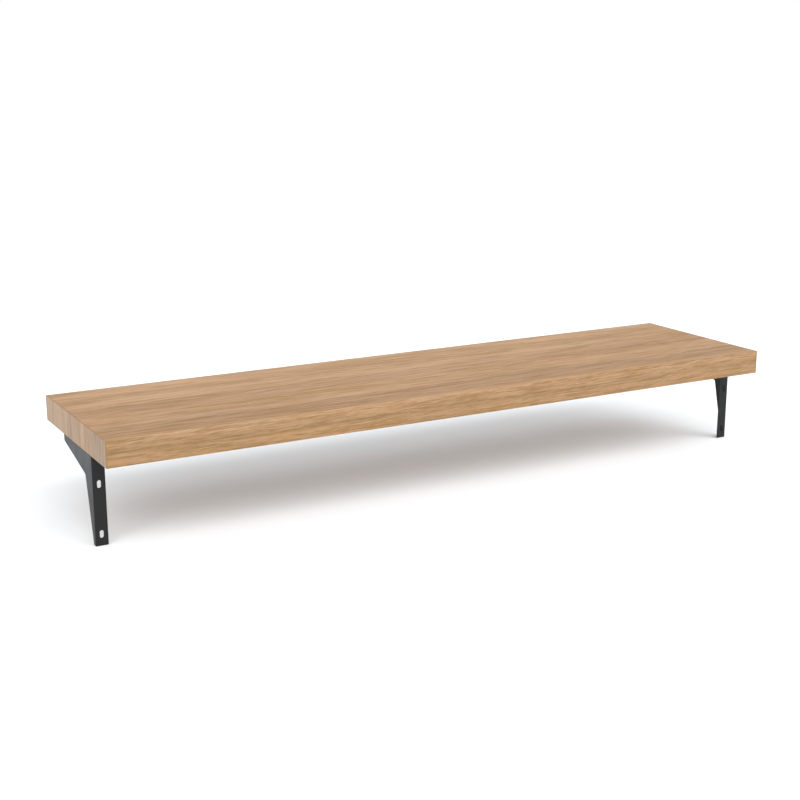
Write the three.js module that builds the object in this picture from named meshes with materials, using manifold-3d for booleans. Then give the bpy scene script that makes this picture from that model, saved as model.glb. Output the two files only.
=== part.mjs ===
// A wall shelf: a hollow-core board on two folded steel brackets.
//
// Units are millimetres and +Z is up. +X runs along the shelf and +Y points away from the wall.
// The origin is midway along the shelf, on the plane of the wall flanges' outer faces and level
// with the underside of the board.

import * as THREE from "three";
import { mergeVertices } from "three/addons/utils/BufferGeometryUtils.js";
import Module from "manifold-3d";

const wasm = await Module();
wasm.setup();

// ---------------------------------------------------------------- driving dimensions

// The board, over its edge bands
const boardLength = 1200;
const boardDepth = 300;
const boardThickness = 40;
const rearOverhang = 70; // how far the board runs back past the wall flanges

// The pieces that the board is glued up from
const skinThickness = 4;
const bandThickness = 2;
const bandEdgeRadius = 0.5;
const longRailWidth = 35;
const endRailWidth = 50;
const centreRailWidth = 35;
const cellPitch = 50; // between the honeycomb's cell centres
const paperThickness = 1.6; // two layers of kraft paper with their glue
const coreBorder = 6; // least paper left outside the outermost cells
const coreClearance = 1; // around each honeycomb panel
const contactGap = 0.1; // at every glued or clamped face

// The folded brackets
const sheetThickness = 1.5;
const bendInnerRadius = 0.5;
const flangeWidth = 19; // over the web
const bracketReach = 137; // along the board
const bracketDrop = 137; // down the wall, from the board's underside
const elbowReach = 34; // the web's inner corner, from the wall
const elbowDrop = 35.5; // and from the board
const armTipHeight = 10;
const footDepth = 9.5;
const armTipRadius = 3;
const footRadius = 1.5;
const elbowRadius = 3;
const flangeCornerRadius = 2;
const cornerRelief = 0.6; // between the wall flange's bend and the end of the flange under the board

// The two slots in each flange
const slotWidth = 6;
const slotLength = 12;
const innerSlotPlace = 43; // its centre, from the bracket's corner
const outerSlotInset = 18; // its centre, from the flange's free end

// The pan-head screws that hold the board on the brackets
const screwLength = 30; // under the head
const screwDiameter = 4.5;
const screwHeadDiameter = 9;
const screwHeadHeight = 3;
const screwHeadEdge = 1.2; // straight part of the head's rim
const screwShoulderDiameter = 8.1; // where the head's side turns in to its crown
const screwShoulderHeight = 2.2;
const screwCrownDiameter = 5.8; // the flat middle of the head
const screwSides = 20;
const screwPointLength = 5;
const screwPointRadius = 0.4;
const recessWidth = 1.2;
const recessLength = 4.4;
const recessDepth = 1.6;
const holeClearance = 0.3; // around a screw, on the radius

// ---------------------------------------------------------------- places worked out from them

const endX = boardLength / 2;
const rearY = -rearOverhang;
const frontY = boardDepth - rearOverhang;

// The room inside the bands and between the skins
const innerX = endX - bandThickness - contactGap;
const innerRearY = rearY + bandThickness + contactGap;
const innerFrontY = frontY - bandThickness - contactGap;
const innerBottomZ = skinThickness + contactGap;
const innerTopZ = boardThickness - skinThickness - contactGap;

// The room inside the frame of rails
const cavityX = innerX - endRailWidth;
const cavityRearY = innerRearY + longRailWidth + contactGap;
const cavityFrontY = innerFrontY - longRailWidth - contactGap;

// The brackets and their screws
const bracketTopZ = -contactGap;
const bracketBottomZ = -bracketDrop;
const bendOuterRadius = sheetThickness + bendInnerRadius;
const topFlangeStartY = bendOuterRadius + cornerRelief;
const webInnerX = endX - sheetThickness;
const flangeEdgeX = endX - flangeWidth;
const slotX = endX - flangeWidth / 2;
const slotPlacesY = [innerSlotPlace, bracketReach - outerSlotInset];
const slotPlacesZ = [-innerSlotPlace, bracketBottomZ + outerSlotInset];
const slotHalfStraight = (slotLength - slotWidth) / 2;
const screwSeatZ = bracketTopZ - sheetThickness - contactGap;
const screwTopZ = screwSeatZ + screwLength;
const screwHoleRadius = screwDiameter / 2 + holeClearance;

// ---------------------------------------------------------------- materials

function finish(colour, roughness, metalness) {
  return new THREE.MeshStandardMaterial({ color: colour, roughness, metalness });
}

const oakFace = finish(0xbe9a78, 0.55, 0);
const oakLongBand = finish(0xc79f79, 0.5, 0);
const oakEndBand = finish(0xbaa28f, 0.6, 0);
const railWood = finish(0xc9ab7d, 0.85, 0);
const kraftPaper = finish(0xa8835a, 0.95, 0);
const blackSteel = finish(0x3a3b3b, 0.5, 0.2);
const zincSteel = finish(0xb8babd, 0.35, 0.9);

// ---------------------------------------------------------------- solids

const arcStep = Math.PI / 12;
const cutAllowance = 5; // how far a cut runs past the faces it opens
const weldDistance = 1e-4;

// A closed three.js geometry as a solid that can be joined and cut.
function solid(geometry) {
  const bare = geometry.clone();
  bare.deleteAttribute("normal");
  bare.deleteAttribute("uv");
  const merged = mergeVertices(bare, weldDistance);
  const vertProperties = merged.attributes.position.array;
  const triVerts = new Uint32Array(merged.index.array);
  return new wasm.Manifold(new wasm.Mesh({ numProp: 3, vertProperties, triVerts }));
}

// A solid as a named mesh.
function named(name, body, material) {
  const made = body.getMesh();
  const geometry = new THREE.BufferGeometry();
  geometry.setAttribute("position", new THREE.BufferAttribute(made.vertProperties, 3));
  geometry.setIndex(new THREE.BufferAttribute(made.triVerts, 1));
  const mesh = new THREE.Mesh(geometry, material);
  mesh.name = name;
  return mesh;
}

// The same solid on the other side of the shelf's middle.
function mirrored(body) {
  const made = body.getMesh();
  const vertProperties = made.vertProperties.map((value, i) => (i % 3 === 0 ? -value : value));
  const triVerts = made.triVerts.map((_, i, all) => all[i + 2 - 2 * (i % 3)]);
  return new wasm.Manifold(new wasm.Mesh({ numProp: 3, vertProperties, triVerts }));
}

function block(x0, x1, y0, y1, z0, z1) {
  const geometry = new THREE.BoxGeometry(x1 - x0, y1 - y0, z1 - z0);
  return solid(geometry.translate((x0 + x1) / 2, (y0 + y1) / 2, (z0 + z1) / 2));
}

const unitX = new THREE.Vector3(1, 0, 0);
const unitY = new THREE.Vector3(0, 1, 0);
const unitZ = new THREE.Vector3(0, 0, 1);

// Where a shape's two directions and its extrusion point. A prism along x is drawn in (y, z),
// one along y in (z, x) and one along z in (x, y).
const prismDirections = {
  x: new THREE.Matrix4().makeBasis(unitY, unitZ, unitX),
  y: new THREE.Matrix4().makeBasis(unitZ, unitX, unitY),
  z: new THREE.Matrix4(),
};

function prism(shape, along, from, to) {
  const geometry = new THREE.ExtrudeGeometry(shape, { depth: to - from, bevelEnabled: false });
  geometry.translate(0, 0, from);
  return solid(geometry.applyMatrix4(prismDirections[along]));
}

// Points along an arc, no more than one step apart.
function arc(a, b, radius, startAngle, sweep) {
  const steps = Math.ceil(Math.abs(sweep) / arcStep);
  return Array.from({ length: steps + 1 }, (_, i) => {
    const angle = startAngle + (sweep * i) / steps;
    return new THREE.Vector2(a + radius * Math.cos(angle), b + radius * Math.sin(angle));
  });
}

// A closed outline through [a, b, radius] corners, each rounded by an arc of its radius.
function outline(corners) {
  const points = corners.flatMap(([a, b, radius], i) => {
    const corner = new THREE.Vector2(a, b);
    if (radius === 0) return [corner];
    const [beforeA, beforeB] = corners.at(i - 1);
    const [afterA, afterB] = corners[(i + 1) % corners.length];
    const back = new THREE.Vector2(beforeA, beforeB).sub(corner).normalize();
    const on = new THREE.Vector2(afterA, afterB).sub(corner).normalize();
    const halfAngle = Math.acos(back.dot(on)) / 2;
    const middle = back.clone().add(on).setLength(radius / Math.sin(halfAngle)).add(corner);
    const tangent = back.clone().multiplyScalar(radius / Math.tan(halfAngle)).add(corner);
    const sweep = (Math.PI - 2 * halfAngle) * -Math.sign(back.cross(on));
    return arc(middle.x, middle.y, radius, tangent.sub(middle).angle(), sweep);
  });
  return new THREE.Shape(points);
}

// A slot between the centres of its two round ends.
function slotOutline(from, to) {
  const angle = to.clone().sub(from).angle();
  const farEnd = arc(to.x, to.y, slotWidth / 2, angle - Math.PI / 2, Math.PI);
  const nearEnd = arc(from.x, from.y, slotWidth / 2, angle + Math.PI / 2, Math.PI);
  return new THREE.Shape([...farEnd, ...nearEnd]);
}

// ---------------------------------------------------------------- the screws

function screw(x, y) {
  const profile = [
    [0, -screwHeadHeight],
    [screwCrownDiameter / 2, -screwHeadHeight],
    [screwShoulderDiameter / 2, -screwShoulderHeight],
    [screwHeadDiameter / 2, -screwHeadEdge],
    [screwHeadDiameter / 2, 0],
    [screwDiameter / 2, 0],
    [screwDiameter / 2, screwLength - screwPointLength],
    [screwPointRadius, screwLength],
    [0, screwLength],
  ];
  const points = profile.map(([radius, height]) => new THREE.Vector2(radius, height));
  const turned = new THREE.LatheGeometry(points, screwSides);
  turned.rotateX(Math.PI / 2);
  const body = solid(turned.translate(x, y, screwSeatZ));
  const long = recessLength / 2;
  const wide = recessWidth / 2;
  const floor = screwSeatZ - screwHeadHeight + recessDepth;
  const below = screwSeatZ - screwHeadHeight - cutAllowance;
  const lengthways = block(x - long, x + long, y - wide, y + wide, below, floor);
  const crossways = block(x - wide, x + wide, y - long, y + long, below, floor);
  return body.subtract(lengthways.add(crossways));
}

// The hole that both screws of the bracket on the +X side need, through anything that high.
function screwHoles(z0, z1) {
  const holes = slotPlacesY.map((y) => {
    const round = arc(slotX, y, screwHoleRadius, 0, 2 * Math.PI).slice(1);
    return prism(new THREE.Shape(round), "z", z0, z1);
  });
  return holes.reduce((all, hole) => all.add(hole));
}

// ---------------------------------------------------------------- the brackets

// The bracket on the +X side: a flat web with one flange on the wall and one under the board.
function bracket() {
  // Across each fold: the flange, the bend and the web
  const wallSection = outline([
    [flangeEdgeX, 0, 0],
    [endX, 0, bendOuterRadius],
    [endX, bracketReach, 0],
    [webInnerX, bracketReach, 0],
    [webInnerX, sheetThickness, bendInnerRadius],
    [flangeEdgeX, sheetThickness, 0],
  ]);
  const topSection = outline([
    [bracketTopZ, flangeEdgeX, 0],
    [bracketTopZ, endX, bendOuterRadius],
    [bracketBottomZ, endX, 0],
    [bracketBottomZ, webInnerX, 0],
    [bracketTopZ - sheetThickness, webInnerX, bendInnerRadius],
    [bracketTopZ - sheetThickness, flangeEdgeX, 0],
  ]);
  // Square on to each flange, with its free corners rounded
  const wallPlan = outline([
    [bracketBottomZ, flangeEdgeX, flangeCornerRadius],
    [bracketTopZ, flangeEdgeX, flangeCornerRadius],
    [bracketTopZ, endX, 0],
    [bracketBottomZ, endX, 0],
  ]);
  const topPlan = outline([
    [flangeEdgeX, topFlangeStartY, flangeCornerRadius],
    [endX, topFlangeStartY, 0],
    [endX, bracketReach, 0],
    [flangeEdgeX, bracketReach, flangeCornerRadius],
  ]);
  const wallFold = prism(wallSection, "z", bracketBottomZ, bracketTopZ)
    .intersect(prism(wallPlan, "y", 0, bracketReach));
  const topFold = prism(topSection, "y", topFlangeStartY, bracketReach)
    .intersect(prism(topPlan, "z", bracketBottomZ, bracketTopZ));
  // Square on to the web
  const side = outline([
    [0, bracketTopZ, 0],
    [0, bracketBottomZ, footRadius],
    [footDepth, bracketBottomZ, footRadius],
    [elbowReach, -elbowDrop, elbowRadius],
    [bracketReach, -armTipHeight, armTipRadius],
    [bracketReach, bracketTopZ, 0],
  ]);
  const folded = wallFold.add(topFold).intersect(prism(side, "x", flangeEdgeX, endX));
  return folded.subtract(wallSlots()).subtract(topSlots());
}

function wallSlots() {
  const cuts = slotPlacesZ.map((z) => {
    const lower = new THREE.Vector2(z - slotHalfStraight, slotX);
    const upper = new THREE.Vector2(z + slotHalfStraight, slotX);
    return prism(slotOutline(lower, upper), "y", -cutAllowance, sheetThickness + cutAllowance);
  });
  return cuts[0].add(cuts[1]);
}

function topSlots() {
  const cuts = slotPlacesY.map((y) => {
    const near = new THREE.Vector2(slotX, y - slotHalfStraight);
    const far = new THREE.Vector2(slotX, y + slotHalfStraight);
    return prism(slotOutline(near, far), "z", -sheetThickness - cutAllowance, cutAllowance);
  });
  return cuts[0].add(cuts[1]);
}

// ---------------------------------------------------------------- the board

// The bottom skin and the end rails are holed for the screws; the top skin is whole.
function topSkin() {
  return block(-innerX, innerX, innerRearY, innerFrontY, boardThickness - skinThickness, boardThickness);
}

function bottomSkin() {
  const holes = screwHoles(-cutAllowance, skinThickness + cutAllowance);
  const sheet = block(-innerX, innerX, innerRearY, innerFrontY, 0, skinThickness);
  return sheet.subtract(holes).subtract(mirrored(holes));
}

function endRail() {
  const rail = block(cavityX, innerX, innerRearY, innerFrontY, innerBottomZ, innerTopZ);
  return rail.subtract(screwHoles(-cutAllowance, screwTopZ + holeClearance));
}

function longRail(y0, y1) {
  const reach = cavityX - contactGap;
  return block(-reach, reach, y0, y1, innerBottomZ, innerTopZ);
}

function centreRail() {
  const half = centreRailWidth / 2;
  return block(-half, half, cavityRearY, cavityFrontY, innerBottomZ, innerTopZ);
}

// The honeycomb panel on the +X side: upright six-sided cells, open at both faces.
function honeycombPanel() {
  const x0 = centreRailWidth / 2 + coreClearance;
  const x1 = cavityX - coreClearance;
  const y0 = cavityRearY + coreClearance;
  const y1 = cavityFrontY - coreClearance;
  const panel = outline([[x0, y0, 0], [x1, y0, 0], [x1, y1, 0], [x0, y1, 0]]);
  const cellRadius = (cellPitch - paperThickness) / Math.sqrt(3);
  const rowPitch = cellPitch * Math.cos(Math.PI / 6);
  const roomX = x1 - x0 - 2 * coreBorder - (cellPitch - paperThickness);
  const roomY = y1 - y0 - 2 * coreBorder - 2 * cellRadius;
  const columns = 1 + Math.floor(roomX / cellPitch);
  const rows = 1 + Math.floor(roomY / rowPitch);
  for (let row = 0; row < rows; row += 1) {
    const cells = columns - (row % 2);
    for (let cell = 0; cell < cells; cell += 1) {
      const x = (x0 + x1) / 2 + (cell - (cells - 1) / 2) * cellPitch;
      const y = (y0 + y1) / 2 + (row - (rows - 1) / 2) * rowPitch;
      panel.holes.push(hexagon(x, y, cellRadius));
    }
  }
  return prism(panel, "z", innerBottomZ, innerTopZ);
}

function hexagon(x, y, radius) {
  const corners = Array.from({ length: 6 }, (_, i) => {
    const angle = ((i + 0.5) * Math.PI) / 3;
    return new THREE.Vector2(x + radius * Math.cos(angle), y + radius * Math.sin(angle));
  });
  return new THREE.Path(corners);
}

// The end bands run the board's full depth and the long bands fit between them. Only the edges
// that hands meet are eased.
function rearBand() {
  const section = outline([
    [rearY, 0, bandEdgeRadius],
    [rearY + bandThickness, 0, 0],
    [rearY + bandThickness, boardThickness, 0],
    [rearY, boardThickness, bandEdgeRadius],
  ]);
  return prism(section, "x", -innerX, innerX);
}

function frontBand() {
  const section = outline([
    [frontY - bandThickness, 0, 0],
    [frontY, 0, bandEdgeRadius],
    [frontY, boardThickness, bandEdgeRadius],
    [frontY - bandThickness, boardThickness, 0],
  ]);
  return prism(section, "x", -innerX, innerX);
}

function endBand() {
  const section = outline([
    [0, endX - bandThickness, 0],
    [boardThickness, endX - bandThickness, 0],
    [boardThickness, endX, bandEdgeRadius],
    [0, endX, bandEdgeRadius],
  ]);
  const plan = outline([
    [endX - bandThickness, rearY, 0],
    [endX, rearY, bandEdgeRadius],
    [endX, frontY, bandEdgeRadius],
    [endX - bandThickness, frontY, 0],
  ]);
  return prism(section, "y", rearY, frontY).intersect(prism(plan, "z", 0, boardThickness));
}

// ---------------------------------------------------------------- the shelf

const shelf = new THREE.Group();

shelf.add(named("top_skin", topSkin(), oakFace));
shelf.add(named("bottom_skin", bottomSkin(), oakFace));
shelf.add(named("front_rail", longRail(cavityFrontY + contactGap, innerFrontY), railWood));
shelf.add(named("rear_rail", longRail(innerRearY, cavityRearY - contactGap), railWood));
shelf.add(named("centre_rail", centreRail(), railWood));
shelf.add(named("front_edge_band", frontBand(), oakLongBand));
shelf.add(named("rear_edge_band", rearBand(), oakLongBand));

// The pieces that come in pairs: drawn on the +X side and mirrored for the -X side.
const pairs = [
  ["end_rail", endRail(), railWood],
  ["honeycomb_core", honeycombPanel(), kraftPaper],
  ["end_edge_band", endBand(), oakEndBand],
  ["bracket", bracket(), blackSteel],
  ["inner_screw", screw(slotX, slotPlacesY[0]), zincSteel],
  ["outer_screw", screw(slotX, slotPlacesY[1]), zincSteel],
];
for (const [name, body, material] of pairs) {
  shelf.add(named(`right_${name}`, body, material));
  shelf.add(named(`left_${name}`, mirrored(body), material));
}

export default shelf;
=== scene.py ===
"""A wall shelf: an oak-faced hollow-core board on two folded steel brackets, on a pale floor.

Everything is in metres, in the CAD model's frame: +X runs along the shelf, +Y points away from the
wall and +Z is up. Each visible piece stands in for the CAD node whose name it carries, and takes
its size and place from that node.
"""

import math

import bmesh
import bpy
from mathutils import Matrix, Vector


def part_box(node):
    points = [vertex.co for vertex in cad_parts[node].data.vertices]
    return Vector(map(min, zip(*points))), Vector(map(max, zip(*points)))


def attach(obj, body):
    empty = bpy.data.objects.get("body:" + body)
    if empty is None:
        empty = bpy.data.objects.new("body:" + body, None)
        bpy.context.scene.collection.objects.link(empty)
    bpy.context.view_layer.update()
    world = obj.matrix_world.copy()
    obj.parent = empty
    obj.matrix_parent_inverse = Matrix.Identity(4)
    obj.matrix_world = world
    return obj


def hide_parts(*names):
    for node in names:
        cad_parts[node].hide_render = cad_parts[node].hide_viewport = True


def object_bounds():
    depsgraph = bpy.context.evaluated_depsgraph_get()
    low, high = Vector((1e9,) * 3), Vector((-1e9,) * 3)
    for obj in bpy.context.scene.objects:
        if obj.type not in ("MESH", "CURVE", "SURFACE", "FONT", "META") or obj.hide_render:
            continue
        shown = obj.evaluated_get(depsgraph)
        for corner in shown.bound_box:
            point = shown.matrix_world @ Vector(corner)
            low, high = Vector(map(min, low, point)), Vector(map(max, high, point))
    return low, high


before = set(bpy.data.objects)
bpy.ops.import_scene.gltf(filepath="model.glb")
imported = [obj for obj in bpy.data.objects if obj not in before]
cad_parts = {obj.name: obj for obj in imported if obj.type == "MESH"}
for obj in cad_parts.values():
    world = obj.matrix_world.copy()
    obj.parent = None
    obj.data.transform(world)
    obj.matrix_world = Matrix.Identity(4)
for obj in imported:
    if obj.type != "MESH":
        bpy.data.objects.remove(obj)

CAD_LOW, CAD_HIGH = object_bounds()

# ---------------------------------------------------------------- sizes, camera, light and floor

MM = 0.001
SHARP_EDGE = 0.15 * MM  # edges that meet at a glue line
BAND_EDGE = 0.5 * MM  # edges of the board that hands meet
SHEET_EDGE = 0.25 * MM  # the rim of the folded sheet, under its powder coat
SCREW_EDGE = 0.12 * MM
EDGE_SEGMENTS = 3
BAND_EDGE_SEGMENTS = 5
SHARP_EDGE_SEGMENTS = 2
WELD_DISTANCE = 1e-6

SMOOTH_BELOW = math.radians(40)  # faces that meet at less than this are shaded as one surface
FLAT_BELOW = math.radians(1)  # and at less than this they are one flat face
EASE_ABOVE = math.radians(50)  # the rims of sheet and screws
RIGHT_ANGLE_ABOVE = math.radians(60)

BOARD_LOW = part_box("rear_edge_band")[0]
BOARD_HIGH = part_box("front_edge_band")[1]

CAMERA_PLACE = (-1.13725, -1.86442, 0.56527)
CAMERA_HEADING = math.radians(29.23)  # to the right of square on to the wall
CAMERA_TILT = math.radians(14.31)  # downwards
CAMERA_LENS = 62.05  # this and the sensor's width are in millimetres
CAMERA_SENSOR = 36.0

KEY_ENERGY = 1.2
KEY_ANGLE = math.radians(45)
KEY_DIRECTIONS = {
    "left": (-1.0, -1.03, 1.0),
    "middle": (0.0, -1.03, 1.0),
    "right": (1.0, -1.03, 1.0),
}
FLOOR_HALF_SIZE = 60.0
FLOOR_TINTS = [(0.3, (226, 229, 232)), (0.7, (228, 231, 234))]


# ---------------------------------------------------------------- node graphs

SEED_STEP = (3.1, 5.7, 7.3)  # how far one seed's noise lies from the next one's


class Graph:
    """A material's node graph. Each method adds one node and returns its output socket."""

    def __init__(self, name):
        self.material = bpy.data.materials.new(name)
        self.material.use_nodes = True
        self.tree = self.material.node_tree
        self.shader = self.tree.nodes["Principled BSDF"]
        self.place = self.tree.nodes.new("ShaderNodeTexCoord").outputs["Object"]

    def put(self, socket, value):
        if isinstance(value, bpy.types.NodeSocket):
            self.tree.links.new(value, socket)
        else:
            socket.default_value = value

    def surface(self, **values):
        """Sets the shader's sockets, whose names are written with _ for each space."""
        for name, value in values.items():
            self.put(self.shader.inputs[name.replace("_", " ")], value)

    def maths(self, operation, a, b=0.0):
        node = self.tree.nodes.new("ShaderNodeMath")
        node.operation = operation
        self.put(node.inputs[0], a)
        self.put(node.inputs[1], b)
        return node.outputs[0]

    def noise(self, size, seed, detail=2.0, roughness=0.5, place=None):
        """Noise whose features are size metres long in x, y and z. It runs from about 0 to 1."""
        mapping = self.tree.nodes.new("ShaderNodeMapping")
        self.put(mapping.inputs["Vector"], place or self.place)
        mapping.inputs["Scale"].default_value = [1 / length for length in size]
        mapping.inputs["Location"].default_value = [seed * step for step in SEED_STEP]
        node = self.tree.nodes.new("ShaderNodeTexNoise")
        node.inputs["Scale"].default_value = 1.0
        node.inputs["Detail"].default_value = detail
        node.inputs["Roughness"].default_value = roughness
        self.put(node.inputs["Vector"], mapping.outputs[0])
        return node.outputs["Fac"]

    def ramp(self, factor, stops):
        """Colours or greys at places along the factor."""
        node = self.tree.nodes.new("ShaderNodeValToRGB")
        elements = node.color_ramp.elements
        while len(elements) < len(stops):
            elements.new(0.5)
        for element, (position, colour) in zip(elements, stops):
            element.position = position
            grey = isinstance(colour, (int, float))
            element.color = (colour, colour, colour, 1.0) if grey else srgb(colour)
        self.put(node.inputs["Fac"], factor)
        return node.outputs["Color"]

    def spread(self, factor, low, high, start=0.3, end=0.7):
        """The factor's range from start to end, stretched to run from low to high."""
        node = self.tree.nodes.new("ShaderNodeMapRange")
        node.clamp = True
        ranges = {"From Min": start, "From Max": end, "To Min": low, "To Max": high}
        for name, value in ranges.items():
            node.inputs[name].default_value = value
        self.put(node.inputs["Value"], factor)
        return node.outputs["Result"]

    def mix(self, blend, factor, a, b):
        """Two colours blended. Inputs 6 and 7 and output 2 are the node's colour sockets."""
        node = self.tree.nodes.new("ShaderNodeMix")
        node.data_type = "RGBA"
        node.blend_type = blend
        self.put(node.inputs["Factor"], factor)
        self.put(node.inputs[6], a)
        self.put(node.inputs[7], b)
        return node.outputs[2]

    def scaled(self, colour, factor):
        """A colour made lighter or darker by a number that varies over the surface."""
        node = self.tree.nodes.new("ShaderNodeVectorMath")
        node.operation = "SCALE"
        self.put(node.inputs[0], colour)
        self.put(node.inputs["Scale"], factor)
        return node.outputs[0]

    def axis(self, index, place=None):
        """One coordinate of a place, by default the surface's own."""
        node = self.tree.nodes.new("ShaderNodeSeparateXYZ")
        self.put(node.inputs[0], place or self.place)
        return node.outputs[index]

    def shifted(self, amounts, place=None):
        """A place, by default the surface's own, moved by an amount along each axis."""
        offset = self.tree.nodes.new("ShaderNodeCombineXYZ")
        for socket, amount in zip(offset.inputs, amounts):
            self.put(socket, amount)
        node = self.tree.nodes.new("ShaderNodeVectorMath")
        self.put(node.inputs[0], place or self.place)
        self.put(node.inputs[1], offset.outputs[0])
        return node.outputs[0]

    def bump(self, height, distance, strength):
        node = self.tree.nodes.new("ShaderNodeBump")
        node.inputs["Strength"].default_value = strength
        node.inputs["Distance"].default_value = distance
        self.put(node.inputs["Height"], height)
        self.put(self.shader.inputs["Normal"], node.outputs[0])


def srgb(colour):
    """A 0-255 screen colour as linear light."""
    parts = [value / 255 for value in colour]
    linear = [c / 12.92 if c <= 0.04045 else ((c + 0.055) / 1.055) ** 2.4 for c in parts]
    return (*linear, 1.0)


# ---------------------------------------------------------------- materials

def grain_size(along, across, axis):
    """Feature lengths in x, y and z for grain that runs along one axis."""
    return [along if i == axis else across for i in range(3)]


# How long along the grain and how wide across it the figure's sways are
DRIFT_SIZE = (0.34, 0.05)
RIPPLE_SIZE = (0.055, 0.016)
RIPPLE_SHARE = 0.3
# What the darkest, middling and palest grain does to the colour under it
GRAIN_TINTS = [(0.0, (205, 200, 171)), (0.5, (234, 232, 222)), (1.0, (255, 255, 255))]
# Some streaks lean towards orange, others towards mauve
HUE_TINTS = [(0.3, (255, 250, 240)), (0.7, (249, 250, 255))]
HUE_LENGTH = 0.12
# A vein lies where its noise is near the middle
VEIN_PROFILE = [(0.47, 0.0), (0.495, 1.0), (0.505, 1.0), (0.53, 0.0)]
VEIN_LENGTH = 0.5
VEIN_DEPTH = 0.22
PORE_LENGTH = 9 * MM
PORE_WIDTH = 0.45 * MM
PORE_NOISE = (0.30, 0.42)  # a full pore below this range, none above it
PORE_SHADE = 0.8
GRAIN_HEIGHT = 0.06 * MM
RIM_BROWN = (132, 103, 76)

# The one tight wavy line that runs along the face near the rear of the board: where it lies in Y,
# how far it sways in how long a wave, how it goes from dark to pale across its width, and how its
# strength fades from the ends of the board to the middle
CURL_SPAN = (-30 * MM, 10 * MM)
CURL_SWAY = 7 * MM
CURL_WAVE = 38 * MM
CURL_PROFILE = [
    (0.0, 0.5),
    (0.25, 0.45),
    (0.4, 0.2),
    (0.5, 0.5),
    (0.62, 0.95),
    (0.8, 0.6),
    (1.0, 0.5),
]
CURL_FADE = {"low": 0.1, "high": 0.48, "start": 0.15, "end": 0.45}


def oak(name, grain_axis, across_axis, bands, light, sway, streaks, vein_width, seed,
        curl=False, dark_rim=False):
    """Oak decor. bands are colours across the grain, from the low side (0) to the high side (1), as
    they look when lit as brightly as light says. The figure sways by sway. streaks are (length,
    width, slant, depth), and the thin dark veins lie roughly vein_width apart."""
    g = Graph(name)

    # The figure wanders to and fro across the grain
    drift = g.noise(grain_size(*DRIFT_SIZE, grain_axis), seed, detail=1.5)
    ripple = g.noise(grain_size(*RIPPLE_SIZE, grain_axis), seed + 1, detail=2)
    drift = g.spread(drift, -sway, sway, 0.25, 0.75)
    ripple = g.spread(ripple, -RIPPLE_SHARE * sway, RIPPLE_SHARE * sway)
    wander = g.maths("ADD", drift, ripple)
    figure = across_only(g, across_axis, wander)

    # Broad bands of colour
    low, high = BOARD_LOW[across_axis], BOARD_HIGH[across_axis]
    across = g.spread(g.axis(across_axis, figure), 0.0, 1.0, low, high)
    colour = g.scaled(g.ramp(across, bands), 1 / light)

    # Streaks that follow the figure, from broad and long to fine and short
    tone = 0.5
    for step, (length, width, slant, depth) in enumerate(streaks):
        lean = g.maths("MULTIPLY", g.axis(grain_axis), slant)
        place = across_only(g, across_axis, lean, figure)
        size = grain_size(length, width, grain_axis)
        streak = g.noise(size, seed + 2 + step, detail=1.5, place=place)
        tone = g.maths("ADD", tone, g.spread(streak, -depth, depth))
    size = grain_size(VEIN_LENGTH, vein_width, grain_axis)
    vein = g.noise(size, seed + 10, detail=2, place=figure)
    tone = g.maths("SUBTRACT", tone, g.maths("MULTIPLY", g.ramp(vein, VEIN_PROFILE), VEIN_DEPTH))
    if curl:
        tone = g.maths("ADD", tone, curled_line(g, seed + 7))
    colour = g.mix("MULTIPLY", 1.0, colour, g.ramp(tone, GRAIN_TINTS))
    size = grain_size(HUE_LENGTH, 0.5 * vein_width, grain_axis)
    leaning = g.noise(size, seed + 8, detail=2, place=figure)
    colour = g.mix("MULTIPLY", 1.0, colour, g.ramp(leaning, HUE_TINTS))

    # Pores: short dark dashes along the grain
    size = grain_size(PORE_LENGTH, PORE_WIDTH, grain_axis)
    pore = g.noise(size, seed + 9, detail=1, place=figure)
    pores = g.spread(pore, 1.0, 0.0, *PORE_NOISE)
    colour = g.scaled(colour, g.spread(pores, 1.0, PORE_SHADE, 0.0, 1.0))

    # The band's narrow side, where its core shows
    if dark_rim:
        normal = g.tree.nodes.new("ShaderNodeNewGeometry").outputs["Normal"]
        endways = g.maths("ABSOLUTE", g.axis(0, normal))
        colour = g.mix("MIX", g.spread(endways, 1.0, 0.0, 0.4, 0.8), colour, srgb(RIM_BROWN))

    g.surface(Base_Color=colour, Roughness=g.spread(tone, 0.62, 0.5), Specular_IOR_Level=0.25)
    height = g.maths("SUBTRACT", g.spread(tone, 0.0, 0.5, 0.0, 1.0), pores)
    g.bump(height, GRAIN_HEIGHT, 0.35)
    return g.material


def across_only(g, across_axis, amount, place=None):
    """A place moved across the grain."""
    return g.shifted([amount if i == across_axis else 0.0 for i in range(3)], place)


def curled_line(g, seed):
    """How much paler or darker the wavy line makes the face."""
    wave = g.noise([CURL_WAVE, 1.0, 1.0], seed, detail=1)
    place = g.maths("SUBTRACT", g.axis(1), g.spread(wave, -CURL_SWAY, CURL_SWAY))
    line = g.ramp(g.spread(place, 0.0, 1.0, *CURL_SPAN), CURL_PROFILE)
    strength = g.spread(g.maths("ABSOLUTE", g.axis(0)), **CURL_FADE)
    return g.maths("MULTIPLY", g.maths("SUBTRACT", line, 0.5), strength)


def powder_coat():
    """Satin black powder coat: an even skin with a fine orange peel."""
    g = Graph("black_powder_coat")
    peel = g.noise([0.9 * MM] * 3, 11, detail=3)
    cloud = g.noise([30 * MM] * 3, 12, detail=2)
    colour = g.ramp(cloud, [(0.3, (20, 20, 20)), (0.7, (24, 24, 24))])
    roughness = g.maths("ADD", g.spread(peel, 0.38, 0.46), g.spread(cloud, -0.03, 0.03))
    g.surface(Base_Color=colour, Roughness=roughness, Specular_IOR_Level=0.25)
    g.bump(peel, 0.03 * MM, 0.5)
    return g.material


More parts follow.
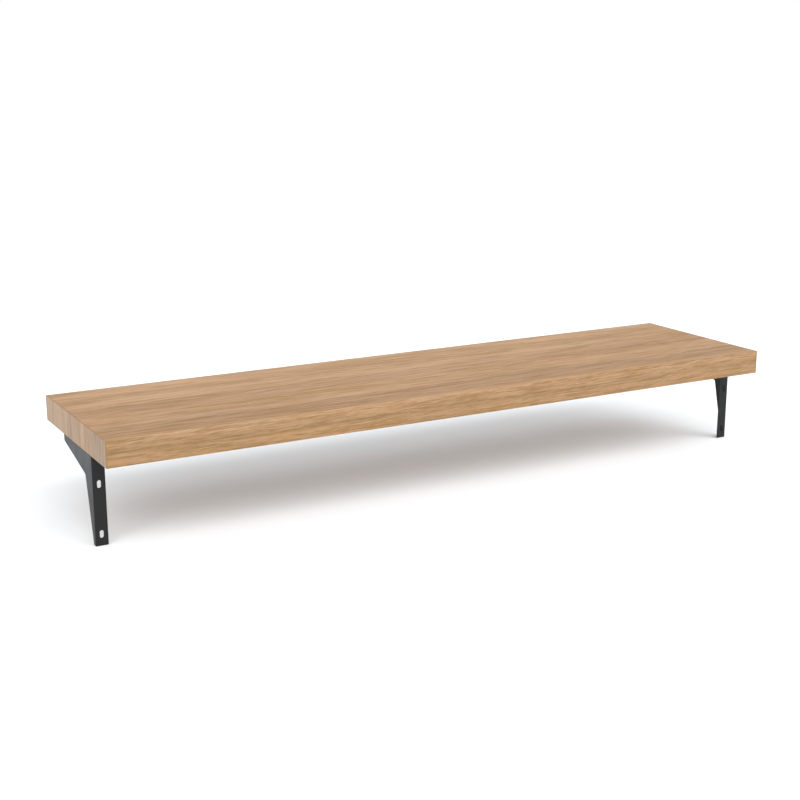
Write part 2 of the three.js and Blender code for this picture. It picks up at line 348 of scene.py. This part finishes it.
def zinc_plate():
    """Bright zinc, a little cloudy and scuffed."""
    g = Graph("zinc_plate")
    cloud = g.noise([2.5 * MM] * 3, 21, detail=3)
    scuff = g.noise([0.5 * MM] * 3, 22, detail=2)
    colour = g.ramp(cloud, [(0.3, (176, 180, 186)), (0.7, (198, 199, 198))])
    g.surface(Base_Color=colour, Metallic=1.0, Roughness=g.spread(scuff, 0.24, 0.42))
    g.bump(scuff, 0.01 * MM, 0.4)
    return g.material


def softwood():
    """Sawn rail wood, inside the board."""
    g = Graph("softwood")
    ring = g.noise(grain_size(0.5, 0.004, 0), 31, detail=3)
    fibre = g.noise(grain_size(0.03, 0.0006, 0), 32, detail=2)
    colour = g.ramp(ring, [(0.35, (186, 147, 98)), (0.5, (222, 193, 148)), (0.7, (232, 208, 168))])
    colour = g.scaled(colour, g.spread(fibre, 0.92, 1.06))
    g.surface(Base_Color=colour, Roughness=g.spread(fibre, 0.75, 0.9))
    g.bump(fibre, 0.15 * MM, 0.6)
    return g.material


def kraft_paper():
    """Unbleached paper, inside the board."""
    g = Graph("kraft_paper")
    fibre = g.noise([0.7 * MM] * 3, 41, detail=4, roughness=0.7)
    cloud = g.noise([25 * MM] * 3, 42, detail=2)
    colour = g.ramp(cloud, [(0.3, (158, 122, 84)), (0.7, (178, 143, 103))])
    colour = g.scaled(colour, g.spread(fibre, 0.9, 1.08))
    g.surface(Base_Color=colour, Roughness=g.spread(fibre, 0.85, 0.98))
    g.bump(fibre, 0.05 * MM, 0.5)
    return g.material


# Colours across the grain: of the face from rear to front, of the long bands from bottom to top and
# of the end bands from rear to front
FACE_BANDS = [
    (0.00, (192, 150, 108)),
    (0.05, (178, 140, 104)),
    (0.19, (177, 140, 105)),
    (0.24, (190, 152, 115)),
    (0.42, (191, 150, 112)),
    (0.50, (183, 145, 112)),
    (0.58, (188, 150, 115)),
    (0.70, (196, 158, 123)),
    (0.79, (189, 152, 116)),
    (0.88, (196, 156, 120)),
    (1.00, (198, 160, 126)),
]
LONG_BANDS = [
    (0.00, (186, 147, 108)),
    (0.30, (187, 150, 111)),
    (0.48, (180, 144, 108)),
    (0.66, (189, 152, 115)),
    (0.88, (199, 160, 125)),
    (1.00, (197, 159, 123)),
]
END_BANDS = [
    (0.00, (175, 150, 129)),
    (0.14, (172, 147, 127)),
    (0.36, (188, 157, 134)),
    (0.52, (178, 151, 131)),
    (0.75, (190, 161, 140)),
    (1.00, (186, 159, 137)),
]

# The streaks' length, width, slant and depth
FACE_GRAIN = [
    (0.5, 0.03, 0.0, 0.12),
    (0.25, 0.012, 0.0, 0.12),
    (0.15, 0.007, 0.0, 0.2),
    (0.035, 0.005, -0.1, 0.16),
    (0.07, 0.0014, 0.0, 0.35),
]
LONG_GRAIN = [
    (0.5, 0.007, 0.0, 0.16),
    (0.2, 0.003, 0.0, 0.22),
    (0.08, 0.0016, 0.0, 0.4),
    (0.02, 0.0018, -0.06, 0.3),
]
END_GRAIN = [
    (0.2, 0.012, 0.0, 0.12),
    (0.12, 0.005, 0.0, 0.25),
    (0.05, 0.002, 0.0, 0.2),
]

OAK_FACE = oak("oak_face", grain_axis=0, across_axis=1, bands=FACE_BANDS, light=1.365,
               sway=5 * MM, streaks=FACE_GRAIN, vein_width=0.02, seed=1, curl=True)
OAK_LONG = oak("oak_long_band", grain_axis=0, across_axis=2, bands=LONG_BANDS, light=1.485,
               sway=3 * MM, streaks=LONG_GRAIN, vein_width=0.008, seed=13)
OAK_END = oak("oak_end_band", grain_axis=2, across_axis=1, bands=END_BANDS, light=1.11,
              sway=2 * MM, streaks=END_GRAIN, vein_width=0.012, seed=27, dark_rim=True)
POWDER_COAT = powder_coat()
ZINC = zinc_plate()
SOFTWOOD = softwood()
KRAFT = kraft_paper()


# ---------------------------------------------------------------- pieces

def piece(name, bm, material):
    """A finished piece that stands in for the CAD node it is named after."""
    mesh = bpy.data.meshes.new(name + "_visible")
    bm.normal_update()
    bm.to_mesh(mesh)
    bm.free()
    mesh.materials.append(material)
    mesh.shade_smooth()
    mesh.set_sharp_from_angle(angle=SMOOTH_BELOW)
    obj = bpy.data.objects.new(name + "_visible", mesh)
    bpy.context.scene.collection.objects.link(obj)
    normals = obj.modifiers.new("even_normals", "WEIGHTED_NORMAL")
    normals.keep_sharp = True
    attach(obj, "root")
    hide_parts(name)
    return obj


def block(low, high):
    bm = bmesh.new()
    bmesh.ops.create_cube(bm, size=1.0)
    bm.transform(Matrix.Translation((low + high) / 2) @ Matrix.Diagonal((*(high - low), 1.0)))
    return bm


def ease(bm, edges, radius, segments):
    bmesh.ops.bevel(bm, geom=edges, offset=radius, offset_type="OFFSET", segments=segments,
                    profile=0.5, affect="EDGES", clamp_overlap=True)


def right_angles(bm):
    return [edge for edge in bm.edges if edge.calc_face_angle(0.0) > RIGHT_ANGLE_ABOVE]


def board_sheet(name, outer_sides, material):
    """A skin or band. Edges between two outer sides of the board are rounded, the rest crisp."""
    low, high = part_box(name)
    bm = block(low, high)
    rounded = [edge for edge in bm.edges if lies_between(edge, outer_sides, low, high)]
    if rounded:
        ease(bm, rounded, BAND_EDGE, BAND_EDGE_SEGMENTS)
    ease(bm, right_angles(bm), SHARP_EDGE, SHARP_EDGE_SEGMENTS)
    piece(name, bm, material)


def lies_between(edge, outer_sides, low, high):
    """True if the edge lies on two of the outer sides. A side is (axis, True for the high side)."""
    on_sides = 0
    for axis, is_high in outer_sides:
        level = high[axis] if is_high else low[axis]
        if all(abs(vertex.co[axis] - level) < WELD_DISTANCE for vertex in edge.verts):
            on_sides += 1
    return on_sides >= 2


def eased_copy(name, material, radius):
    """The CAD node's own shape, with its sharp edges eased."""
    bm = bmesh.new()
    bm.from_mesh(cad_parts[name].data)
    bmesh.ops.remove_doubles(bm, verts=bm.verts, dist=WELD_DISTANCE)
    bmesh.ops.dissolve_limit(bm, angle_limit=FLAT_BELOW, verts=bm.verts, edges=bm.edges)
    obj = piece(name, bm, material)
    rim = obj.modifiers.new("eased_edges", "BEVEL")
    rim.width = radius
    rim.segments = EDGE_SEGMENTS
    rim.limit_method = "ANGLE"
    rim.angle_limit = EASE_ABOVE
    rim.miter_outer = "MITER_ARC"
    obj.modifiers.move(1, 0)  # ahead of the normals


# The board's sides, as (axis, True for the high side)
TOP, BOTTOM = (2, True), (2, False)
FRONT, REAR = (1, True), (1, False)
RIGHT, LEFT = (0, True), (0, False)

board_sheet("top_skin", [], OAK_FACE)
eased_copy("bottom_skin", OAK_FACE, SHARP_EDGE)  # keeps its screw holes
board_sheet("front_edge_band", [TOP, BOTTOM, FRONT], OAK_LONG)
board_sheet("rear_edge_band", [TOP, BOTTOM, REAR], OAK_LONG)
for side, outer in (("left", LEFT), ("right", RIGHT)):
    board_sheet(f"{side}_end_edge_band", [TOP, BOTTOM, FRONT, REAR, outer], OAK_END)
    eased_copy(f"{side}_bracket", POWDER_COAT, SHEET_EDGE)
    eased_copy(f"{side}_inner_screw", ZINC, SCREW_EDGE)
    eased_copy(f"{side}_outer_screw", ZINC, SCREW_EDGE)


# The pieces whose CAD shape already serves keep it, and take a finish
def finish_node(name, material):
    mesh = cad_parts[name].data
    mesh.materials.clear()
    mesh.materials.append(material)


for name in ("front_rail", "rear_rail", "centre_rail", "left_end_rail", "right_end_rail"):
    finish_node(name, SOFTWOOD)
for side in ("left", "right"):
    finish_node(f"{side}_honeycomb_core", KRAFT)


# ---------------------------------------------------------------- floor, light and camera

def floor():
    """A plain white floor under the feet of the brackets."""
    bm = bmesh.new()
    bmesh.ops.create_grid(bm, x_segments=1, y_segments=1, size=FLOOR_HALF_SIZE)
    mesh = bpy.data.meshes.new("floor")
    bm.to_mesh(mesh)
    bm.free()
    g = Graph("floor_white")
    mottle = g.noise([0.4] * 3, 51, detail=2)
    g.surface(Base_Color=g.ramp(mottle, FLOOR_TINTS), Roughness=0.9, Specular_IOR_Level=0.0)
    mesh.materials.append(g.material)
    obj = bpy.data.objects.new("floor", mesh)
    obj.location.z = CAD_LOW.z
    bpy.context.scene.collection.objects.link(obj)


def daylight():
    """An even white sky."""
    world = bpy.data.worlds.new("studio")
    world.use_nodes = True
    background = world.node_tree.nodes["Background"]
    background.inputs["Color"].default_value = (1.0, 1.0, 1.0, 1.0)
    background.inputs["Strength"].default_value = 1.0
    bpy.context.scene.world = world


def key_light():
    """One broad soft light, high on the wall side and wide along the shelf, made of three."""
    for place, direction in KEY_DIRECTIONS.items():
        light = bpy.data.lights.new(f"key_{place}", "SUN")
        light.energy = KEY_ENERGY
        light.angle = KEY_ANGLE
        obj = bpy.data.objects.new(f"key_{place}", light)
        obj.rotation_euler = Vector(direction).to_track_quat("Z", "Y").to_euler()
        bpy.context.scene.collection.objects.link(obj)


def camera():
    data = bpy.data.cameras.new("camera")
    data.lens = CAMERA_LENS
    data.sensor_width = CAMERA_SENSOR
    obj = bpy.data.objects.new("camera", data)
    obj.location = CAMERA_PLACE
    obj.rotation_euler = (math.pi / 2 - CAMERA_TILT, 0.0, -CAMERA_HEADING)
    bpy.context.scene.collection.objects.link(obj)
    bpy.context.scene.camera = obj


floor()
daylight()
key_light()
camera()
bpy.context.scene.view_settings.view_transform = "Standard"
